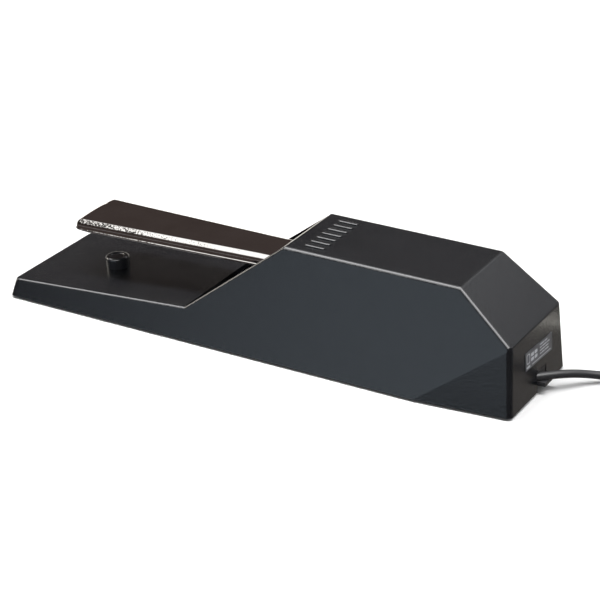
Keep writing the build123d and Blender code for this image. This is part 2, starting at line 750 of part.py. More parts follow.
with BuildPart() as switch_bracket:
    with Locations((0, SWITCH_BACK + 0.05, FLOOR_Z)):
        Box(
            SWITCH_SHEET_W,
            SWITCH_SHEET_T,
            SWITCH_SHEET_H,
            align=(Align.CENTER, Align.MIN, Align.MIN),
        )
    with Locations((0, SWITCH_BACK + 0.05 + SWITCH_SHEET_T, FLOOR_Z)):
        Box(SWITCH_SHEET_W, 7.8, SWITCH_SHEET_T, align=(Align.CENTER, Align.MAX, Align.MIN))
    with BuildSketch(facing_front):
        with Locations(*SWITCH_HOLES):
            Circle(SWITCH_HOLE_R)
    extrude(amount=-10, mode=Mode.SUBTRACT)
    with Locations(*[(x, y, FLOOR_Z) for x, y in SWITCH_RIVET_SPOTS]):
        Cylinder(
            SWITCH_RIVET_HOLE_R,
            2,
            align=(Align.CENTER, Align.CENTER, Align.MIN),
            mode=Mode.SUBTRACT,
        )
save(switch_bracket, "switch_bracket")

with BuildPart() as switch_bracket_rivets:
    rivets(SWITCH_RIVET_SPOTS, FLOOR_Z + SWITCH_SHEET_T, SWITCH_RIVET_HOLE_R - RUN_GAP, 2.3)
save(switch_bracket_rivets, "switch_bracket_rivets")

with BuildPart() as switch_screws:
    with BuildSketch(facing_front.offset(SWITCH_W / 2)):
        with Locations(*SWITCH_HOLES):
            Circle(SWITCH_SCREW_HEAD_R)
    extrude(amount=SMALL_HEAD_H)
    with BuildSketch(facing_front.offset(SWITCH_W / 2)):
        with Locations(*SWITCH_HOLES):
            Circle(SWITCH_SCREW_R)
    extrude(amount=-9.6)
    with BuildSketch(facing_front.offset(SWITCH_W / 2 + SMALL_HEAD_H)):
        with Locations(*SWITCH_HOLES):
            Rectangle(2.6, 0.5)
    extrude(amount=-0.6, mode=Mode.SUBTRACT)
save(switch_screws, "switch_screws")

with BuildPart() as switch_nuts:
    with BuildSketch(facing_front.offset(-SWITCH_W / 2 - 1.3)):
        with Locations(*SWITCH_HOLES):
            RegularPolygon(2.5, 6)
            Circle(1.1, mode=Mode.SUBTRACT)
    extrude(amount=-1.6)
save(switch_nuts, "switch_nuts")

with BuildPart() as switch_striker:
    with BuildSketch(pedal_frame(PEDAL_T)):
        with Locations((STRIKER_X, SWITCH_Y)):
            Circle(STRIKER_R)
    extrude(amount=-STRIKER_L)
    fillet(switch_striker.edges().group_by(Axis.Z)[0], radius=1.4)
save(switch_striker, "switch_striker")

# ---- lead: strain relief, clamp, and the run inside the housing ------------------------------

lead_heading = Vector(*LEAD_ROUTE[1]) - Vector(*LEAD_ROUTE[0])
lead_heading = Vector(lead_heading.X, lead_heading.Y, 0).normalized()
lead_start = Vector(*LEAD_ROUTE[0])
slot_mid = (SLOT_X[0] + SLOT_X[1]) / 2
slot_width = SLOT_X[1] - SLOT_X[0]


def lead_bore(length, radius, start):
    """A round cut along the lead's first run, in the part being built."""
    with BuildSketch(Plane(origin=start, z_dir=lead_heading)) as bore:
        Circle(radius)
    extrude(bore.sketch, amount=length, both=True, mode=Mode.SUBTRACT)


with BuildPart() as strain_relief:
    # neck in the slot, a flange inside the wall and a ledge behind it
    with BuildSketch(Plane.XY.offset(LEDGE_Z)):
        slot_plan(0.2, BACK_BOTTOM[0] - 4.5, BACK_BOTTOM[0] + 1)
    extrude(amount=SLOT_TOP - 0.3 - LEDGE_Z)
    split(bisect_by=Plane.XZ.offset(-(BACK_BOTTOM[0] - 0.9)), keep=Keep.TOP)
    with Locations((slot_mid + 2.0, BACK_BOTTOM[0] - WALL - 1.0, LEDGE_Z)):
        Box(20.0, 2.0, SLOT_TOP - 3.2, align=(Align.CENTER, Align.MAX, Align.MIN))
    with Locations((slot_mid, BACK_BOTTOM[0] + 3.2, LEDGE_Z)):
        Box(slot_width - 0.4, 6.0, 1.8, align=(Align.CENTER, Align.MAX, Align.MIN))
    lead_bore(30, CABLE_D / 2 + 0.02, lead_start)
save(strain_relief, "strain_relief")

INNER_END = lead_start - lead_heading * INNER_LEAD_L
with BuildPart() as cable_inner:
    with BuildSketch(Plane(origin=lead_start, z_dir=lead_heading)):
        Circle(CABLE_D / 2)
    extrude(amount=-INNER_LEAD_L)
save(cable_inner, "cable_inner")

CLAMP_AT = lead_start - lead_heading * CLAMP_BACK
clamp_plane = Plane(
    origin=(CLAMP_AT.X, CLAMP_AT.Y, FLOOR_Z),
    x_dir=(lead_heading.Y, -lead_heading.X, 0),
    z_dir=(0, 0, 1),
)
CLAMP_SCREWS = [(-6.0, 0), (6.0, 0)]
with BuildPart() as cable_clamp:
    with BuildSketch(clamp_plane):
        SlotOverall(CLAMP_L, CLAMP_W)
    extrude(amount=CLAMP_FLANGE_H)
    with BuildSketch(clamp_plane):
        Rectangle(8.0, CLAMP_W)
    extrude(amount=CLAMP_H)
    with BuildSketch(clamp_plane):
        with Locations(*CLAMP_SCREWS):
            Circle(1.15)
    extrude(amount=20, mode=Mode.SUBTRACT)
    lead_bore(40, CABLE_D / 2 + 0.02, lead_start)
save(cable_clamp, "cable_clamp")

with BuildPart() as clamp_screws:
    with BuildSketch(clamp_plane.offset(CLAMP_FLANGE_H)):
        with Locations(*CLAMP_SCREWS):
            Circle(2.0)
    extrude(amount=SMALL_HEAD_H)
    with BuildSketch(clamp_plane):
        with Locations(*CLAMP_SCREWS):
            Circle(1.1)
    extrude(amount=CLAMP_FLANGE_H)
save(clamp_screws, "clamp_screws")


def run_radii(route):
    """One bend radius for each inner point of a route: as large as its two runs allow."""
    points = [Vector(*p) for p in route]
    radii = []
    for before, here, after in zip(points, points[1:], points[2:]):
        turn = radians((here - before).get_angle(after - here))
        shorter = min((here - before).length, (after - here).length)
        radii.append(0.45 * shorter / tan(turn / 2))
    return radii


def tube(route, radius, node):
    """A tube of straight runs joined by tangent arcs, in the part being built."""
    radii = run_radii(route)
    with BuildLine() as run:
        path = FilletPolyline(*route, radius=radii)
    with BuildSketch(Plane(origin=path @ 0, z_dir=path % 0)) as section:
        Circle(radius)
    sweep(section.sketch, path=run.wires()[0])
    print(node, "length", round(path.length, 1), "radii", [round(r, 1) for r in radii])
    return path.length


LEAD_R = 0.7
lead_across = Vector(lead_heading.Y, -lead_heading.X, 0)
with BuildPart() as switch_leads:
    for offset_x, terminal_x, low_z in ((0.95, 7.0, 4.6), (-0.95, -7.0, 6.8)):
        start = INNER_END + lead_across * offset_x
        second = start - lead_heading * 4
        route = [
            (start.X, start.Y, CABLE_Z),
            (second.X, second.Y, CABLE_Z),
            (18.6 + offset_x, 104.0, 6.2),
            (20.6 + offset_x, 90.0, low_z),
            (20.2 + offset_x, 76.0, low_z),
            (20.6 + offset_x, 62.0, low_z),
            (17.0 + offset_x, 50.0, 8.0),
            ((17.0 + terminal_x) / 2, 44.3, 8.8),
            (terminal_x + 0.6, 45.4, 11.0),
            (terminal_x, SWITCH_Y - 1.05, 14.0),
            (terminal_x, SWITCH_Y - 1.05, 18.0),
        ]
        tube(route, LEAD_R, "switch_leads")
save(switch_leads, "switch_leads")

# ---- lead outside: the free run, the coil, the tail and the plug ------------------------------

CABLE_R = CABLE_D / 2
with BuildPart() as cable_lead:
    lead_length = tube(LEAD_ROUTE, CABLE_R, "cable_lead")
save(cable_lead, "cable_lead")

with BuildPart() as cable_tail:
    tail_length = tube(TAIL_ROUTE, CABLE_R, "cable_tail")
save(cable_tail, "cable_tail")

COIL_OUT_R = COIL_IN_R + (COIL_LAYER_TURNS - 1) * COIL_PITCH
COIL_HEIGHT = CABLE_D + COIL_PITCH
with BuildPart() as cable_coil:
    with BuildSketch():
        with Locations(COIL_AT):
            Circle(COIL_OUT_R + CABLE_R)
            Circle(COIL_IN_R - CABLE_R, mode=Mode.SUBTRACT)
    extrude(amount=COIL_HEIGHT)
    chamfer(cable_coil.edges(), length=1.2)
save(cable_coil, "cable_coil")

TIE_T = 0.8
TIE_W = 9.0
bundle_w = COIL_OUT_R - COIL_IN_R + CABLE_D
with BuildPart() as coil_tie:
    # a strap pulled tight round the bundle, so it bites 0.3 mm into it
    with Locations((COIL_AT[0] + (COIL_IN_R + COIL_OUT_R) / 2, COIL_AT[1], 0)):
        Box(
            bundle_w + 2 * TIE_T,
            TIE_W,
            COIL_HEIGHT + TIE_T,
            align=(Align.CENTER, Align.CENTER, Align.MIN),
        )
        fillet(coil_tie.edges().filter_by(Axis.Y), radius=1.4)
    with Locations((COIL_AT[0] + (COIL_IN_R + COIL_OUT_R) / 2, COIL_AT[1], 0.6)):
        Box(
            bundle_w - 0.6,
            TIE_W,
            COIL_HEIGHT - 0.9,
            align=(Align.CENTER, Align.CENTER, Align.MIN),
            mode=Mode.SUBTRACT,
        )
save(coil_tie, "coil_tie")

# the lead spirals in along the bottom layer, climbs on its innermost turn and spirals out again
coil_length = 2 * (COIL_LAYER_TURNS - 1) * pi * (COIL_IN_R + COIL_OUT_R) + 2 * pi * COIL_IN_R
print("lead in all", round(lead_length + coil_length + tail_length))


def turned(points):
    """A piece turned about the plug's axis. Points are (distance from the boot's end, radius)."""
    axis_plane = Plane(origin=(PLUG_X, PLUG_START_Y, PLUG_Z), x_dir=(0, -1, 0), z_dir=(1, 0, 0))
    with BuildSketch(axis_plane) as profile:
        with BuildLine() as profile_line:
            Polyline(*points, close=True)
        make_face(profile_line.edges())
    revolve(profile.sketch, axis=Axis((PLUG_X, PLUG_START_Y, PLUG_Z), (0, -1, 0)))


BOOT_L = 12.0
HANDLE_END = BOOT_L + 24.0
SLEEVE_END = HANDLE_END + 19.6
RING_END = SLEEVE_END + 1.4
TIP_END = HANDLE_END + 30.5
SHAFT_R = 3.175
with BuildPart() as plug_boot:
    outside = [(0, 2.6)]
    for groove in range(4):
        start = 1.6 + 2.4 * groove
        outer = 3.6 + 0.3 * groove
        bottom = 2.5 if groove < 2 else 3.5
        outside += [(start, outer), (start, bottom), (start + 1, bottom), (start + 1, outer + 0.1)]
    outside += [(BOOT_L, HANDLE_END_R)]
    turned([(0, CABLE_R), *outside, (BOOT_L, 0), (4, 0), (4, CABLE_R)])
save(plug_boot, "plug_boot")

with BuildPart() as plug_handle:
    turned(
        [
            (BOOT_L, 0),
            (BOOT_L, HANDLE_END_R),
            (BOOT_L + 0.8, HANDLE_R),
            (HANDLE_END - 0.6, HANDLE_R),
            (HANDLE_END, 4.9),
            (HANDLE_END, 0),
        ]
    )
save(plug_handle, "plug_handle")

with BuildPart() as plug_sleeve:
    turned([(HANDLE_END, 0), (HANDLE_END, SHAFT_R), (SLEEVE_END, SHAFT_R), (SLEEVE_END, 0)])
save(plug_sleeve, "plug_sleeve")

with BuildPart() as plug_insulator:
    turned([(SLEEVE_END, 0), (SLEEVE_END, 2.9), (RING_END, 2.9), (RING_END, 0)])
save(plug_insulator, "plug_insulator")

with BuildPart() as plug_tip:
    turned(
        [
            (RING_END, 0),
            (RING_END, SHAFT_R),
            (TIP_END - 6.4, SHAFT_R),
            (TIP_END - 4.9, 2.2),
            (TIP_END - 3.3, 3.0),
            (TIP_END - 0.5, 1.2),
            (TIP_END, 0.6),
            (TIP_END, 0),
        ]
    )
save(plug_tip, "plug_tip")
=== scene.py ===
from math import cos, pi, radians, sin

import bmesh
import bpy
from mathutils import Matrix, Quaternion, Vector


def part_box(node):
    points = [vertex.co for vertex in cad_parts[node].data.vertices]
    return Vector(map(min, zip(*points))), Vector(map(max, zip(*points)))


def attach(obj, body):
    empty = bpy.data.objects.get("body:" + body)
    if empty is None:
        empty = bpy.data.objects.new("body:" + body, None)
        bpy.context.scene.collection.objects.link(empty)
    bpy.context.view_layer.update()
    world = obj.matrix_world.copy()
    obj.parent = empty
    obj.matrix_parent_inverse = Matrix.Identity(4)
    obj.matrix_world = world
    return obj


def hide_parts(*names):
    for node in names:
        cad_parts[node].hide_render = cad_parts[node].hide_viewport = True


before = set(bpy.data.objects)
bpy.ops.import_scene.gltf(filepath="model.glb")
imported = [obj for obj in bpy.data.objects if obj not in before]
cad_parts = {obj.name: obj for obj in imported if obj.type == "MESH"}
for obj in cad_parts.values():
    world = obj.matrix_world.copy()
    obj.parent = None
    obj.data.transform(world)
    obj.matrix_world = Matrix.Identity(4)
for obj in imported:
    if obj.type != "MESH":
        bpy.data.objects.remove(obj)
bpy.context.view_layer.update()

# A sustain pedal in a white studio: textured black housing, chrome pedal, coiled lead with a jack
# plug. Everything is in metres, in the CAD part's frame: the toe is at -Y and the lead leaves at +Y.

MM = 0.001

# ---- camera ----------------------------------------------------------------------------------

VIEW_AZIMUTH, VIEW_ELEVATION, VIEW_ROLL = radians(119.25), radians(25.3), radians(0.2)
VIEW_TARGET = Vector((-0.0008, 0.0102, 0.0169))
VIEW_DISTANCE = 0.9156
LENS = 119.5

back = Vector((
    sin(VIEW_AZIMUTH) * cos(VIEW_ELEVATION),
    -cos(VIEW_AZIMUTH) * cos(VIEW_ELEVATION),
    sin(VIEW_ELEVATION),
))
camera = bpy.data.objects.new("camera", bpy.data.cameras.new("camera"))
bpy.context.scene.collection.objects.link(camera)
camera.data.lens = LENS
camera.data.sensor_width = 36.0
camera.data.clip_end = 50
camera.location = VIEW_TARGET + back * VIEW_DISTANCE
camera.rotation_mode = "QUATERNION"
camera.rotation_quaternion = (-back).to_track_quat("-Z", "Y") @ Quaternion((0, 0, 1), VIEW_ROLL)
bpy.context.scene.camera = camera

# ---- the lead --------------------------------------------------------------------------------

# the same route as the CAD part's, in mm
CABLE_D = 3.8
CABLE_Z = 7.7
LEAD_ROUTE = [
    (0.5, 127.3, CABLE_Z),
    (-8.6, 136.4, CABLE_Z),
    (-18.4, 143.8, 5.2),
    (-26.0, 153.4, 2.8),
    (-29.3, 165.6, 1.95),
    (-29.7, 181.6, 1.95),
]
COIL_AT = (2.0, 200.0)
COIL_IN_R = 11.5
COIL_PITCH = 3.9
COIL_LAYER_TURNS = 6
COIL_OUT_R = COIL_IN_R + (COIL_LAYER_TURNS - 1) * COIL_PITCH
POINTS_PER_TURN = 24
LEAD_FLOOR_GAP = 0.05
TUBE_STEPS = 6
TUBE_SIDES = 5
PLUG_X, PLUG_Z = -64.6, 5.6
TAIL_ROUTE = [
    (-29.2, 209.0, 5.2),
    (-32.0, 220.4, 3.0),
    (-39.8, 229.4, 1.95),
    (-51.4, 231.4, 1.95),
    (-61.0, 225.6, 3.0),
    (PLUG_X, 215.4, PLUG_Z),
    (PLUG_X, 204.0, PLUG_Z),
]


def coil_layer(z, inwards):
    """One layer of turns, clockwise from above, starting and ending on the -X side."""
    points = []
    steps = (COIL_LAYER_TURNS - 1) * POINTS_PER_TURN
    for step in range(steps + 1):
        done = step / steps
        travel = done if inwards else 1 - done
        radius = COIL_OUT_R - (COIL_OUT_R - COIL_IN_R) * travel
        angle = pi - 2 * pi * step / POINTS_PER_TURN
        points.append((COIL_AT[0] + radius * cos(angle), COIL_AT[1] + radius * sin(angle), z))
    return points


def climbing_turn(low_z, high_z):
    """The innermost turn, which climbs from the bottom layer to the top one."""
    points = []
    for step in range(1, POINTS_PER_TURN):
        angle = pi - 2 * pi * step / POINTS_PER_TURN
        share = step / POINTS_PER_TURN
        eased = share * share * (3 - 2 * share)
        z = low_z + (high_z - low_z) * eased
        points.append((COIL_AT[0] + COIL_IN_R * cos(angle), COIL_AT[1] + COIL_IN_R * sin(angle), z))
    return points


def lead_points():
    """The free run, the bottom layer inwards, the climb, the top layer outwards and the tail."""
    low_z, high_z = CABLE_D / 2 + LEAD_FLOOR_GAP, CABLE_D / 2 + COIL_PITCH
    down = coil_layer(low_z, True)
    up = coil_layer(high_z, False)
    return LEAD_ROUTE + down + climbing_turn(low_z, high_z) + up + TAIL_ROUTE


def nurbs_tube(name, points, radius):
    """A round tube along points, which are in mm like the radius."""
    curve = bpy.data.curves.new(name, "CURVE")
    curve.dimensions = "3D"
    spline = curve.splines.new("NURBS")
    spline.points.add(len(points) - 1)
    for point, place in zip(spline.points, points):
        point.co = (*[c * MM for c in place], 1)
        point.radius = radius * MM
    spline.order_u = 3
    spline.use_endpoint_u = True
    spline.resolution_u = TUBE_STEPS
    # the bevel is one metre times each point's radius, so that the curve's box is the tube's own
    curve.bevel_depth = 1.0
    curve.bevel_resolution = TUBE_SIDES
    curve.use_fill_caps = True
    tube = bpy.data.objects.new(name, curve)
    bpy.context.scene.collection.objects.link(tube)
    return tube


lead = nurbs_tube("lead", lead_points(), CABLE_D / 2)
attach(lead, "base")
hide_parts("cable_lead", "cable_coil", "cable_tail")

# ---- materials -------------------------------------------------------------------------------

# how far apart the ridges of a wave texture of scale 1 are
WAVE_PERIOD = 0.314
# nearly all of a noise texture's values lie between these
NOISE_LOW, NOISE_HIGH = 0.3, 0.7


class Surface:
    """A principled material with its colour, roughness and relief from textures in the object's space."""

    def __init__(self, name, metallic=0.0, specular=0.5):
        self.material = bpy.data.materials.new(name)
        self.material.use_nodes = True
        self.tree = self.material.node_tree
        self.shader = self.tree.nodes["Principled BSDF"]
        self.shader.inputs["Metallic"].default_value = metallic
        self.shader.inputs["Specular IOR Level"].default_value = specular
        self.place = self.add("ShaderNodeTexCoord").outputs["Object"]

    def add(self, kind, **settings):
        node = self.tree.nodes.new(kind)
        for setting, value in settings.items():
            setattr(node, setting, value)
        return node

    def link(self, source, node, socket):
        self.tree.links.new(source, node.inputs[socket])
        return node

    def stretched(self, scale):
        """The object's coordinates, scaled by a triple, so that a texture comes out drawn along an axis."""
        mapping = self.add("ShaderNodeMapping")
        mapping.inputs["Scale"].default_value = scale
        self.link(self.place, mapping, "Vector")
        return mapping.outputs["Vector"]

    def noise(self, size, detail=4.0, roughness=0.55, place=None):
        """Cloudy noise with features about size metres across, from 0 to 1."""
        node = self.add("ShaderNodeTexNoise")
        node.inputs["Scale"].default_value = 1 / size
        node.inputs["Detail"].default_value = detail
        node.inputs["Roughness"].default_value = roughness
        self.link(place or self.place, node, "Vector")
        return node.outputs["Fac"]

    def cells(self, size):
        """Rounded cells about size metres across: the distance from each cell's middle."""
        node = self.add("ShaderNodeTexVoronoi", feature="F1")
        node.inputs["Scale"].default_value = 1 / size
        self.link(self.place, node, "Vector")
        return node.outputs["Distance"]

    def waves(self, size, direction, distortion):
        """Parallel ridges about size metres apart, from 0 to 1."""
        node = self.add("ShaderNodeTexWave", bands_direction=direction)
        node.inputs["Scale"].default_value = WAVE_PERIOD / size
        node.inputs["Distortion"].default_value = distortion
        self.link(self.place, node, "Vector")
        return node.outputs["Fac"]

    def spread(self, value, low, high, from_low=NOISE_LOW, from_high=NOISE_HIGH):
        """Maps a value between from_low and from_high to the range from low to high, and clamps it."""
        node = self.add("ShaderNodeMapRange")
        node.inputs["From Min"].default_value = from_low
        node.inputs["From Max"].default_value = from_high
        node.inputs["To Min"].default_value = low
        node.inputs["To Max"].default_value = high
        self.link(value, node, "Value")
        return node.outputs["Result"]

    def sum(self, first, second, second_share=1.0):
        """The first value plus a share of the second."""
        node = self.add("ShaderNodeMath", operation="MULTIPLY_ADD")
        node.inputs[1].default_value = second_share
        self.link(second, node, 0)
        self.link(first, node, 2)
        return node.outputs["Value"]

    def product(self, first, second):
        node = self.add("ShaderNodeMath", operation="MULTIPLY")
        self.link(first, node, 0)
        self.link(second, node, 1)
        return node.outputs["Value"]

    def tones(self, value, *colours):
        """A colour from a texture's value, through evenly spaced colours."""
        ramp = self.add("ShaderNodeValToRGB")
        stops = ramp.color_ramp.elements
        for index, colour in enumerate(colours):
            position = NOISE_LOW + (NOISE_HIGH - NOISE_LOW) * index / (len(colours) - 1)
            if index < 2:
                stop = stops[index]
                stop.position = position
            else:
                stop = stops.new(position)
            stop.color = (*colour, 1)
        self.link(value, ramp, "Fac")
        return ramp.outputs["Color"]

    def edge_roundings(self):
        """1 on the roundings between an upward face and a side, where handling polishes the grain away; the
        housing's colour is lightened there as a painted highlight.
        """
        normal = self.add("ShaderNodeSeparateXYZ")
        self.link(self.add("ShaderNodeTexCoord").outputs["Normal"], normal, 0)
        shares = []
        for axis, low, high in (("X", 0.06, 0.3), ("Z", 0.3, 0.5)):
            size = self.add("ShaderNodeMath", operation="ABSOLUTE")
            self.link(normal.outputs[axis], size, 0)
            shares.append(self.spread(size.outputs["Value"], 0, 1, low, high))
        return self.product(*shares)

    def colour(self, value, *colours):
        self.link(self.tones(value, *colours), self.shader, "Base Color")

    def roughness(self, value, low, high):
        self.link(self.spread(value, low, high), self.shader, "Roughness")

    def relief(self, height, depth, strength=1.0):
        """Adds a bump of depth metres to the shader, on top of those already there."""
        bump = self.add("ShaderNodeBump")
        bump.inputs["Distance"].default_value = depth
        bump.inputs["Strength"].default_value = strength
        self.link(height, bump, "Height")
        if self.shader.inputs["Normal"].is_linked:
            self.link(self.shader.inputs["Normal"].links[0].from_socket, bump, "Normal")
        self.link(bump.outputs["Normal"], self.shader, "Normal")


def dress(material, *names):
    """Gives the named pieces one material each, in place of what they had."""
    for name in names:
        piece = bpy.data.objects[name]
        piece.data.materials.clear()
        piece.data.materials.append(material)


def black_abs():
    """Spark-textured black ABS: a fine pebbled grain, slightly uneven sheen, and edges rubbed smooth, whose
    colour is lightened as a painted highlight.
    """
    abs_ = Surface("black_abs", specular=0.42)
    grain_size, grain_depth = 0.5 * MM, 0.085 * MM
    pebble_size, pebble_depth = 0.9 * MM, 0.06 * MM
    grain = abs_.noise(grain_size, detail=3)
    pebble = abs_.cells(pebble_size)
    flow = abs_.noise(0.035, detail=3)
    edge_roundings = abs_.edge_roundings()
    # the edge roundings lighten the colour: a painted highlight along the housing's edges
    tone = abs_.sum(abs_.sum(grain, flow, 0.35), edge_roundings, 0.12)
    abs_.colour(tone, (0.002, 0.0024, 0.0032), (0.0038, 0.0043, 0.0055), (0.008, 0.009, 0.011))
    sheen = abs_.spread(abs_.sum(flow, grain, 0.4), 0.15, 0.22)
    abs_.link(abs_.sum(sheen, edge_roundings, -0.05), abs_.shader, "Roughness")
    smooth_height = abs_.spread(edge_roundings, 1.0, 0.15, 0.0, 1.0)
    for texture, depth in ((grain, grain_depth), (pebble, pebble_depth)):
        abs_.relief(abs_.product(texture, smooth_height), depth, 0.7)
    return abs_.material


def chrome():
    """Polished chrome with faint wiping marks, and plating worn off the shoulder near the tip."""
    plate = Surface("chrome", metallic=1.0)
    smear = plate.noise(0.02, detail=5)
    wiped = plate.noise(0.0012, detail=2, place=plate.stretched((1, 0.06, 1)))
    along = plate.add("ShaderNodeSeparateXYZ")
    plate.link(plate.add("ShaderNodeTexCoord").outputs["Generated"], along, 0)
    # as shares of the lever's length from its tip
    wear_full, wear_end = 0.02, 0.34
    at_tip = plate.spread(along.outputs["Y"], 1.0, 0.0, wear_full, wear_end)
    scuffs = plate.noise(0.0007, detail=2)
    bare = plate.sum(at_tip, plate.spread(scuffs, -1.0, 0.35, 0.35, 0.65))
    worn = plate.product(plate.spread(bare, 0.0, 1.0, 0.0, 0.8), plate.edge_roundings())
    tone = plate.sum(plate.spread(smear, 0.45, 0.7), worn, -0.4)
    bare_metal = (0.05, 0.046, 0.043)
    plate.colour(tone, bare_metal, (0.60, 0.585, 0.57), (0.66, 0.65, 0.64), (0.70, 0.695, 0.69))
    sheen = plate.spread(plate.sum(smear, wiped, 0.35), 0.035, 0.085)
    plate.link(plate.sum(sheen, worn, 0.12), plate.shader, "Roughness")
    plate.relief(wiped, 0.002 * MM, 0.12)
    return plate.material


# the ranges of roughness of the kinds of moulding
RUBBER_SHEEN = (0.42, 0.6)
BUTTON_SHEEN = (0.14, 0.22)
SWITCH_CASE_SHEEN = (0.3, 0.45)
SWITCH_RED_SHEEN = (0.25, 0.35)
PLUG_SHEEN = (0.22, 0.34)


def moulded_rubber(name, dark, light, sheen=RUBBER_SHEEN, grain_size=0.35 * MM):
    """Fine-grained moulding with a cloudy bloom between two colours."""
    rubber = Surface(name, specular=0.45)
    grain = rubber.noise(grain_size, detail=4)
    bloom = rubber.noise(6 * MM, detail=4)
    rubber.colour(rubber.sum(grain, bloom, 0.5), dark, light)
    rubber.roughness(bloom, *sheen)
    rubber.relief(grain, 0.03 * MM, 0.4)
    return rubber.material


def plated_steel(name, dark, light, drawn=(1, 1, 1)):
    """Plated metal with scratches, drawn out by a scale on each axis, and a faint spangle."""
    steel = Surface(name, metallic=1.0)
    scratches = steel.noise(0.5 * MM, detail=5, place=steel.stretched(drawn))
    spangle = steel.cells(2.2 * MM)
    steel.colour(steel.sum(scratches, spangle, 0.3), dark, light)
    steel.roughness(scratches, 0.24, 0.42)
    steel.relief(scratches, 0.01 * MM, 0.4)
    return steel.material


def powder_coat():
    """Black powder paint with an orange-peel surface, dusty in places."""
    coat = Surface("powder_coat", specular=0.4)
    orange_peel = coat.noise(1.3 * MM, detail=3)
    dust = coat.noise(12 * MM, detail=6)
    coat.colour(coat.sum(orange_peel, dust, 0.5), (0.010, 0.010, 0.011), (0.024, 0.024, 0.026))
    coat.roughness(dust, 0.42, 0.6)
    coat.relief(orange_peel, 0.08 * MM, 0.5)
    return coat.material


def nylon():
    """Natural nylon, cream and slightly see-through."""
    body = Surface("nylon", specular=0.4)
    cloud = body.noise(4 * MM, detail=4)
    body.colour(cloud, (0.55, 0.53, 0.46), (0.72, 0.71, 0.65))
    body.roughness(cloud, 0.35, 0.5)
    body.shader.inputs["Subsurface Weight"].default_value = 0.15
    body.shader.inputs["Subsurface Radius"].default_value = (1.2 * MM, 1.0 * MM, 0.8 * MM)
    body.relief(body.noise(0.5 * MM), 0.02 * MM, 0.3)
    return body.material


def felt():
    """Green felt with fibres that lie along Y."""
    pad = Surface("felt", specular=0.15)
    fibre = pad.noise(0.25 * MM, detail=6, place=pad.stretched((1, 0.3, 1)))
    pad.colour(fibre, (0.02, 0.07, 0.04), (0.07, 0.17, 0.10))
    pad.roughness(fibre, 0.85, 1.0)
    pad.relief(fibre, 0.25 * MM, 0.9)
    return pad.material


def woven_strap():
    """Black hook-and-loop strap: a weave with loose loops."""
    strap = Surface("woven_strap", specular=0.2)
    weft = strap.waves(0.45 * MM, "Y", 0.6)
    loops = strap.noise(0.35 * MM, detail=5)
    strap.colour(strap.sum(loops, weft, 0.4), (0.008, 0.008, 0.009), (0.03, 0.03, 0.034))
    strap.roughness(loops, 0.75, 0.95)
    strap.relief(strap.sum(loops, weft, 0.6), 0.18 * MM, 0.9)
    return strap.material


def cable_jacket():
    """Soft PVC with a satin skin, slightly greyer where it has been handled."""
    jacket = Surface("cable_jacket", specular=0.4)
    skin = jacket.noise(0.6 * MM, detail=3)
    handled = jacket.noise(9 * MM, detail=4)
    jacket.colour(jacket.sum(skin, handled, 0.6), (0.010, 0.010, 0.0115), (0.022, 0.022, 0.024))
    jacket.roughness(handled, 0.3, 0.45)
    jacket.relief(skin, 0.03 * MM, 0.35)
    return jacket.material


def wire_insulation():
    """Red insulation of the wires to the switch."""
    jacket = Surface("wire_insulation", specular=0.5)
    cloud = jacket.noise(3 * MM)
    jacket.colour(cloud, (0.32, 0.02, 0.015), (0.48, 0.045, 0.03))
    jacket.roughness(cloud, 0.25, 0.4)
    return jacket.material


def label_film():
    """Satin dark grey film with faint print mottle."""
    film = Surface("label_film", specular=0.35)
    mottle = film.noise(1.5 * MM, detail=5)
    film.colour(mottle, (0.045, 0.048, 0.054), (0.075, 0.079, 0.088))
    film.roughness(mottle, 0.35, 0.5)
    film.relief(film.noise(0.3 * MM), 0.01 * MM, 0.3)
    return film.material


def print_ink():
    """Light grey ink, worn unevenly."""
    ink = Surface("print_ink", specular=0.3)
    wear = ink.noise(0.6 * MM, detail=5)
    ink.colour(wear, (0.30, 0.31, 0.33), (0.52, 0.53, 0.56))
    ink.roughness(wear, 0.5, 0.7)
    return ink.material


def white_paper():
    """The studio's sweep, white enough to hide its own shape."""
    paper = Surface("white_paper", specular=0.1)
    paper.colour(paper.noise(0.2, detail=2), (0.86, 0.86, 0.86), (0.88, 0.88, 0.88))
    paper.shader.inputs["Roughness"].default_value = 0.9
    return paper.material


dress(black_abs(), "housing")
dress(chrome(), "pedal_lever")
button_rubber = moulded_rubber("button_rubber", (0.010, 0.0105, 0.012), (0.02, 0.021, 0.024), BUTTON_SHEEN)
dress(button_rubber, "stop_button")
dress(moulded_rubber("foot_rubber", (0.012, 0.012, 0.012), (0.03, 0.03, 0.03)), "rubber_feet")
dress(moulded_rubber("relief_rubber", (0.008, 0.008, 0.009), (0.018, 0.018, 0.02)), "strain_relief")
dress(powder_coat(), "base_plate")
zinc = plated_steel("zinc_steel", (0.36, 0.355, 0.33), (0.6, 0.6, 0.57))
dress(zinc, "pivot_bracket", "switch_bracket", "switch_arm", "switch_pin")
turned_steel = plated_steel("turned_steel", (0.42, 0.42, 0.42), (0.66, 0.66, 0.65), drawn=(3, 0.4, 0.4))
dress(turned_steel, "pivot_axle", "bracket_rivets", "switch_bracket_rivets")
dress(turned_steel, "switch_screws", "switch_nuts", "clamp_screws")
dress(plated_steel("blackened_steel", (0.03, 0.03, 0.03), (0.09, 0.09, 0.09)), "base_screws")
spring_wire = plated_steel("spring_wire", (0.22, 0.22, 0.22), (0.45, 0.45, 0.45))
dress(spring_wire, "return_spring", "axle_clips")
dress(nylon(), "pivot_bushes", "spring_cup", "spring_retainer", "switch_striker", "cable_clamp")
dress(felt(), "rest_pad")
FINE_GRAIN = 0.2 * MM
switch_case = moulded_rubber(
    "switch_case", (0.012, 0.012, 0.013), (0.028, 0.028, 0.03), SWITCH_CASE_SHEEN, FINE_GRAIN
)
dress(switch_case, "switch_body")
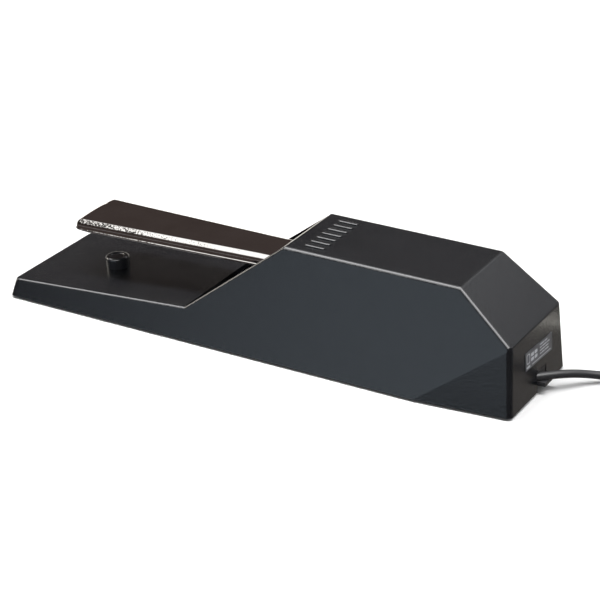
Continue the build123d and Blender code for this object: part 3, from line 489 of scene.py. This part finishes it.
switch_red = moulded_rubber(
    "switch_red", (0.30, 0.02, 0.015), (0.42, 0.035, 0.025), SWITCH_RED_SHEEN, FINE_GRAIN
)
dress(switch_red, "switch_plunger")
dress(plated_steel("tinned_brass", (0.55, 0.42, 0.18), (0.78, 0.66, 0.36)), "switch_terminals")
dress(wire_insulation(), "switch_leads")
dress(cable_jacket(), "cable_inner", "lead")
dress(woven_strap(), "coil_tie")
plug_black = moulded_rubber(
    "plug_black", (0.010, 0.010, 0.011), (0.018, 0.018, 0.02), PLUG_SHEEN, grain_size=0.3 * MM
)
dress(plug_black, "plug_boot", "plug_handle", "plug_insulator")
nickel = plated_steel("nickel", (0.58, 0.56, 0.5), (0.74, 0.72, 0.66), drawn=(0.3, 4, 0.3))
dress(nickel, "plug_sleeve", "plug_tip")
dress(label_film(), "rating_label")

# ---- the rating plate's print ----------------------------------------------------------------

# the plate leans with the back face and is turned a little on it; its half thickness is in mm
LABEL_LEAN = 0.0865
LABEL_TURN = radians(3.0)
LABEL_HALF_T = 0.1
# how far the ink stands out of the plate and reaches into it, in mm
INK_T = 0.04
INK_SUNK = 0.02
MARK_CORNER_SHARE = 0.3
CORNER_STEPS = 3
# each mark's middle and size in mm, from the plate's middle, seen from behind; none is a letter
FRAME_AT, FRAME_SIZE, FRAME_LINE = (-11.6, 0.8), (3.4, 4.6), 0.4
PATCHES = [(-7.2, 1.6), (-3.4, 1.6), (-7.2, -0.6), (-3.4, -0.6)]
PATCH_SIZE = (3.0, 1.5)
TEXT_ROWS = [(2.9, (4.4, 3.0)), (1.5, (2.0, 4.6, 2.6)), (0.1, (5.2, 3.4)), (-1.3, (1.6, 2.6, 4.0))]
TEXT_START, TEXT_GAP, TEXT_H = 1.0, 0.6, 0.55
FOOT_LINE_AT, FOOT_LINE_SIZE = (2.6, -3.0), (20.0, 0.4)
BAR_AT, BAR_SIZE = (-11.6, -2.9), (3.6, 1.0)


def bar_outline(middle, size):
    """A rectangle with rounded corners, as points."""
    corner = min(size) * MARK_CORNER_SHARE
    points = []
    for quarter, (sx, sy) in enumerate(((1, 1), (-1, 1), (-1, -1), (1, -1))):
        for step in range(CORNER_STEPS + 1):
            angle = pi / 2 * (quarter + step / CORNER_STEPS)
            x = middle[0] + sx * (size[0] / 2 - corner) + corner * cos(angle)
            y = middle[1] + sy * (size[1] / 2 - corner) + corner * sin(angle)
            points.append((x, y))
    return points


def label_point(across_mm, up_mm, out_mm):
    """A point on the plate's outer face: its own axes turned, leant and moved to where the plate is."""
    low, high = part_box("rating_label")
    middle = (Vector(low) + Vector(high)) / 2
    normal = Vector((0, 1, LABEL_LEAN)).normalized()
    right = Vector((-1, 0, 0))
    up = normal.cross(right)
    c, s = cos(-LABEL_TURN), sin(-LABEL_TURN)
    x, y = c * across_mm - s * up_mm, s * across_mm + c * up_mm
    return middle + (right * x + up * y + normal * (out_mm + LABEL_HALF_T)) * MM


def raise_outline(mesh, outline, hole=None):
    """Adds one closed mark of ink: an outline, with a hole of as many points if there is one."""
    def loop(points, out):
        return [mesh.verts.new(label_point(x, y, out)) for x, y in points]

    def walls(first, second):
        for index in range(len(first)):
            after = (index + 1) % len(first)
            mesh.faces.new((first[index], first[after], second[after], second[index]))

    top, bottom = loop(outline, INK_T), loop(outline, -INK_SUNK)
    walls(bottom, top)
    if hole is None:
        mesh.faces.new(top)
        mesh.faces.new(bottom[::-1])
        return
    hole_top, hole_bottom = loop(hole, INK_T), loop(hole, -INK_SUNK)
    walls(hole_top, hole_bottom)
    walls(top, hole_top)
    walls(hole_bottom, bottom)


def label_print():
    """Generic print on the plate: a frame, patches, rows of bars, a line and a bar."""
    mesh = bmesh.new()
    for middle in PATCHES:
        raise_outline(mesh, bar_outline(middle, PATCH_SIZE))
    inner = tuple(side - 2 * FRAME_LINE for side in FRAME_SIZE)
    raise_outline(mesh, bar_outline(FRAME_AT, FRAME_SIZE), bar_outline(FRAME_AT, inner))
    raise_outline(mesh, bar_outline(FOOT_LINE_AT, FOOT_LINE_SIZE))
    raise_outline(mesh, bar_outline(BAR_AT, BAR_SIZE))
    for row_y, words in TEXT_ROWS:
        start = TEXT_START
        for word in words:
            raise_outline(mesh, bar_outline((start + word / 2, row_y), (word, TEXT_H)))
            start += word + TEXT_GAP
    bmesh.ops.recalc_face_normals(mesh, faces=mesh.faces)
    data = bpy.data.meshes.new("label_print")
    mesh.to_mesh(data)
    mesh.free()
    marks = bpy.data.objects.new("label_print", data)
    bpy.context.scene.collection.objects.link(marks)
    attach(marks, "base")


label_print()
dress(print_ink(), "label_print")

# ---- studio ----------------------------------------------------------------------------------

FLOOR_SIZE = 8
bpy.ops.mesh.primitive_plane_add(size=FLOOR_SIZE, location=(0, 0, 0))
floor = bpy.context.object
floor.name = "floor"
dress(white_paper(), "floor")


def softbox(name, place, target, size, power, colour=(1, 1, 1)):
    """A rectangular lamp of size metres at place, which faces target."""
    light = bpy.data.lights.new(name, "AREA")
    light.shape = "RECTANGLE"
    light.size, light.size_y = size
    light.energy = power
    light.color = colour
    lamp = bpy.data.objects.new(name, light)
    lamp.location = place
    lamp.rotation_euler = (Vector(target) - Vector(place)).to_track_quat("-Z", "Y").to_euler()
    bpy.context.scene.collection.objects.link(lamp)
    return lamp


OVERHEAD_Z = 1.5
COOL, NEARLY_WHITE, WARM = (0.74, 0.88, 1.0), (0.95, 0.97, 1.0), (1.0, 0.94, 0.84)
strip = softbox(
    "overhead_strip",
    place=(0.08, -0.05, OVERHEAD_Z),
    target=(0.08, -0.05, 0),
    size=(0.34, 2.7),
    power=42,
)
# reaches below the floor, which doesn't hide it from glossy rays, so the flats at the rear mirror it
side_panel = softbox(
    "side_panel",
    place=(1.35, -0.2, -0.03),
    target=(0, 0, 0),
    size=(1.15, 0.8),
    power=4.3,
    colour=COOL,
)
back_panel = softbox(
    "back_panel",
    place=(-1.2, 0.50, 0.80),
    target=(0, 0.1, 0.03),
    size=(0.6, 0.5),
    power=0.95,
    colour=NEARLY_WHITE,
)
# a wide card overhead, for gloss alone, which draws the light lines along the housing's edges
edge_card = softbox(
    "edge_card",
    place=(0.55, -0.1, OVERHEAD_Z),
    target=(0.55, -0.1, 0),
    size=(1.9, 2.8),
    power=120,
)
edge_card.visible_diffuse = False
# a low card beyond the toe, for gloss alone, which draws the light line along the mouth's rim
rim_card = softbox(
    "rim_card",
    place=(0.05, -1.5, 0.52),
    target=(0, -0.05, 0.03),
    size=(0.9, 0.4),
    power=9,
    colour=WARM,
)
rim_card.visible_diffuse = False
# no lamp lights the chrome, which mirrors the room alone, so its lines stay thin
flagged = bpy.data.collections.new("flagged_from_lamps")
flagged.objects.link(bpy.data.objects["pedal_lever"])
flagged.collection_objects[0].light_linking.link_state = "EXCLUDE"
for lamp in (side_panel, back_panel, strip, edge_card, rim_card):
    lamp.light_linking.receiver_collection = flagged

FILL_GREY = (0.36, 0.36, 0.36, 1)
BACKDROP_WHITE = (1, 1, 1, 1)
DARK_ROOM = (0.062, 0.047, 0.043, 1)
FAR_FLOOR_CREAM = (1.7, 1.62, 1.48, 1)
NEAR_LINE_GREY = (0.45, 0.45, 0.46, 1)
CEILING_WHITE = (1.65, 1.63, 1.6, 1)


def studio_room():
    """White for the camera and for soft light. Glossy surfaces see a dark brown room instead, with a
    white ceiling, a pale floor on the far side and a thin grey line where the near floor ends."""
    world = bpy.data.worlds.new("studio")
    world.use_nodes = True
    nodes, link = world.node_tree.nodes, world.node_tree.links.new
    axes = nodes.new("ShaderNodeSeparateXYZ")
    link(nodes.new("ShaderNodeTexCoord").outputs["Generated"], axes.inputs[0])

    def band(axis, *stops):
        """A smooth curve over one axis of the direction: stops are (value on the axis, result)."""
        curve = nodes.new("ShaderNodeValToRGB")
        curve.color_ramp.interpolation = "EASE"
        elements = curve.color_ramp.elements
        while len(elements) < len(stops):
            elements.new(0.5)
        for element, (value, result) in zip(elements, stops):
            element.position = (value + 1) / 2
            element.color = (result, result, result, 1)
        half = nodes.new("ShaderNodeMath")
        half.operation = "MULTIPLY_ADD"
        half.inputs[1].default_value = half.inputs[2].default_value = 0.5
        link(axes.outputs[axis], half.inputs[0])
        link(half.outputs[0], curve.inputs["Fac"])
        return curve.outputs["Color"]

    def mixed(blend, factor, first, second):
        mix = nodes.new("ShaderNodeMix")
        mix.data_type = "RGBA"
        mix.blend_type = blend
        mix.clamp_result = False
        for socket, value in (("Factor", factor), ("A", first), ("B", second)):
            if isinstance(value, (int, float, tuple)):
                mix.inputs[socket].default_value = value
            else:
                link(value, mix.inputs[socket])
        return mix.outputs["Result"]

    # the pale far floor: on the far side, below the horizon, fainter towards the toe
    far_side = band("X", (-0.6, 1.0), (-0.1, 0.0))
    towards_toe = band("Y", (-0.2, 1.0), (0.55, 0.1))
    pale = band("Z", (-0.5, 0.35), (-0.25, 1.0), (0.0, 1.0), (0.1, 0.0))
    far_floor = mixed("MULTIPLY", 1.0, mixed("MULTIPLY", 1.0, pale, far_side), towards_toe)
    # the grey line: on the near side, just below the horizon
    near_side = band("X", (0.3, 0.0), (0.6, 1.0))
    line = band("Z", (-0.17, 0.0), (-0.15, 1.0), (-0.13, 1.0), (-0.11, 0.0))
    near_line = mixed("MULTIPLY", 1.0, line, near_side)
    ceiling = band("Z", (0.5, 0.0), (0.66, 1.0))
    room = mixed("MIX", far_floor, DARK_ROOM, FAR_FLOOR_CREAM)
    room = mixed("MIX", near_line, room, NEAR_LINE_GREY)
    room = mixed("MIX", ceiling, room, CEILING_WHITE)
    rays = nodes.new("ShaderNodeLightPath").outputs
    colour = mixed("MIX", rays["Is Glossy Ray"], FILL_GREY, room)
    colour = mixed("MIX", rays["Is Camera Ray"], colour, BACKDROP_WHITE)
    link(colour, nodes["Background"].inputs["Color"])
    return world


bpy.context.scene.world = studio_room()
# the paper lights the object, but what is polished mirrors the room instead
floor.visible_glossy = False

view = bpy.context.scene.view_settings
view.view_transform = "Standard"
view.look = "None"
view.exposure = 0.0
